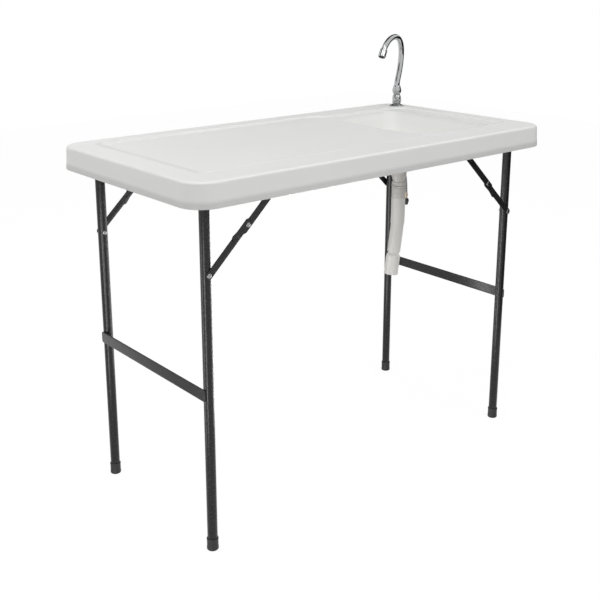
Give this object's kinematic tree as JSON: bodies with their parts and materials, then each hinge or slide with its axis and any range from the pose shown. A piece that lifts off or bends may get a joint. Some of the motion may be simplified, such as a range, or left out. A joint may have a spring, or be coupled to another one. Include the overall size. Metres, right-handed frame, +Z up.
{
  "type": "folding fish cleaning table",
  "caption": "Folding outdoor fish cleaning table with a moulded worktop, sink bowl, gooseneck tap, drain hose and tube leg frames that fold flat under it.",
  "frame": {"origin": "on the floor, under the middle of the worktop", "axes": "+X along the worktop to the sink end, +Y to the side with the tap, +Z up"},
  "size_m": [1.2276, 0.6276, 1.1635],
  "materials": {
    "moulded_white": "fine grained moulded polyethylene, off white",
    "drain_white": "plain moulded plastic, greyish white",
    "hose_white": "ribbed flexible plastic, greyish white",
    "seal_rubber": "black seal",
    "chrome": "polished chrome plate",
    "brass": "bare machined brass",
    "black_plastic": "black moulded plastic",
    "supply_grey": "grey flexible hose",
    "coated_steel": "charcoal hammered powder coat",
    "foot_rubber": "black foot cap",
    "zinc_steel": "bright zinc plated rivet"
  },
  "bodies": {
    "table": {"tabletop": "moulded_white", "drain_flange": "drain_white", "drain_gasket": "seal_rubber", "drain_locknut": "drain_white", "drain_adapter": "drain_white", "hose_collar": "drain_white", "drain_hose": "hose_white", "drain_hose_cuff": "hose_white", "faucet_escutcheon": "chrome", "faucet_body": "chrome", "faucet_swivel_nut": "chrome", "faucet_shank": "brass", "shank_washer": "seal_rubber", "shank_locknut": "brass", "supply_hose": "supply_grey", "supply_connector": "brass", "quick_coupler": "black_plastic", "left_front_pivot_saddle": "coated_steel", "left_front_brace_bracket": "coated_steel", "left_back_pivot_saddle": "coated_steel", "left_back_brace_bracket": "coated_steel", "right_front_pivot_saddle": "coated_steel", "right_front_brace_bracket": "coated_steel", "right_back_pivot_saddle": "coated_steel", "right_back_brace_bracket": "coated_steel"},
    "faucet_spout_arm": {"faucet_spout": "chrome", "aerator_housing": "chrome", "aerator_insert": "black_plastic"},
    "faucet_knob": {"faucet_handle": "chrome"},
    "left_front_upper_brace": {"left_front_upper_link": "coated_steel", "left_front_brace_rivet": "zinc_steel"},
    "left_front_lower_brace": {"left_front_lower_link": "coated_steel"},
    "left_back_upper_brace": {"left_back_upper_link": "coated_steel", "left_back_brace_rivet": "zinc_steel"},
    "left_back_lower_brace": {"left_back_lower_link": "coated_steel"},
    "left_leg_frame": {"left_pivot_tube": "coated_steel", "left_crossbar": "coated_steel", "left_front_leg": "coated_steel", "left_front_foot_cap": "foot_rubber", "left_front_leg_rivet": "zinc_steel", "left_back_leg": "coated_steel", "left_back_foot_cap": "foot_rubber", "left_back_leg_rivet": "zinc_steel"},
    "right_front_upper_brace": {"right_front_upper_link": "coated_steel", "right_front_brace_rivet": "zinc_steel"},
    "right_front_lower_brace": {"right_front_lower_link": "coated_steel"},
    "right_back_upper_brace": {"right_back_upper_link": "coated_steel", "right_back_brace_rivet": "zinc_steel"},
    "right_back_lower_brace": {"right_back_lower_link": "coated_steel"},
    "right_leg_frame": {"right_pivot_tube": "coated_steel", "right_crossbar": "coated_steel", "right_front_leg": "coated_steel", "right_front_foot_cap": "foot_rubber", "right_front_leg_rivet": "zinc_steel", "right_back_leg": "coated_steel", "right_back_foot_cap": "foot_rubber", "right_back_leg_rivet": "zinc_steel"}
  },
  "joints": [
    {"name": "spout_swivel", "type": "hinge", "parent": "table", "child": "faucet_spout_arm", "pos_m": [0.568, 0.245, 0.9965], "axis": [0, 0, 1], "continuous": true},
    {"name": "faucet_handle_turn", "type": "hinge", "parent": "table", "child": "faucet_knob", "pos_m": [0.55592, 0.2306, 0.9508], "axis": [-0.6428, -0.766, 0], "range_deg": [0, 90]},
    {"name": "left_leg_fold", "type": "hinge", "parent": "table", "child": "left_leg_frame", "pos_m": [-0.537, 0, 0.895], "axis": [0, -1, 0], "range_deg": [0, 90]},
    {"name": "left_front_brace_swing", "type": "hinge", "parent": "table", "child": "left_front_upper_brace", "pos_m": [-0.331, -0.25425, 0.895], "axis": [0, -1, 0], "range_deg": [0, 136.57]},
    {"name": "left_front_brace_knee", "type": "hinge", "parent": "left_front_upper_brace", "child": "left_front_lower_brace", "pos_m": [-0.43001, -0.24905, 0.80128], "axis": [0, 1, 0], "range_deg": [0, 180]},
    {"name": "left_back_brace_swing", "type": "hinge", "parent": "table", "child": "left_back_upper_brace", "pos_m": [-0.331, 0.25425, 0.895], "axis": [0, -1, 0], "range_deg": [0, 136.57]},
    {"name": "left_back_brace_knee", "type": "hinge", "parent": "left_back_upper_brace", "child": "left_back_lower_brace", "pos_m": [-0.43001, 0.24905, 0.80128], "axis": [0, 1, 0], "range_deg": [0, 180]},
    {"name": "right_leg_fold", "type": "hinge", "parent": "table", "child": "right_leg_frame", "pos_m": [0.537, 0, 0.865], "axis": [0, 1, 0], "range_deg": [0, 90], "deforming": ["drain_hose", "drain_hose_cuff"]},
    {"name": "right_front_brace_swing", "type": "hinge", "parent": "table", "child": "right_front_upper_brace", "pos_m": [0.331, -0.25425, 0.865], "axis": [0, 1, 0], "range_deg": [0, 136.57]},
    {"name": "right_front_brace_knee", "type": "hinge", "parent": "right_front_upper_brace", "child": "right_front_lower_brace", "pos_m": [0.43001, -0.24905, 0.77128], "axis": [0, -1, 0], "range_deg": [0, 180]},
    {"name": "right_back_brace_swing", "type": "hinge", "parent": "table", "child": "right_back_upper_brace", "pos_m": [0.331, 0.25425, 0.865], "axis": [0, 1, 0], "range_deg": [0, 136.57]},
    {"name": "right_back_brace_knee", "type": "hinge", "parent": "right_back_upper_brace", "child": "right_back_lower_brace", "pos_m": [0.43001, 0.24905, 0.77128], "axis": [0, -1, 0], "range_deg": [0, 180]}
  ],
  "couplings": [
    {"joint": "left_front_brace_swing", "follows": "left_leg_fold", "ratio": 1.5175},
    {"joint": "left_front_brace_knee", "follows": "left_leg_fold", "ratio": 2},
    {"joint": "left_back_brace_swing", "follows": "left_leg_fold", "ratio": 1.5175},
    {"joint": "left_back_brace_knee", "follows": "left_leg_fold", "ratio": 2},
    {"joint": "right_front_brace_swing", "follows": "right_leg_fold", "ratio": 1.5175},
    {"joint": "right_front_brace_knee", "follows": "right_leg_fold", "ratio": 2},
    {"joint": "right_back_brace_swing", "follows": "right_leg_fold", "ratio": 1.5175},
    {"joint": "right_back_brace_knee", "follows": "right_leg_fold", "ratio": 2}
  ]
}
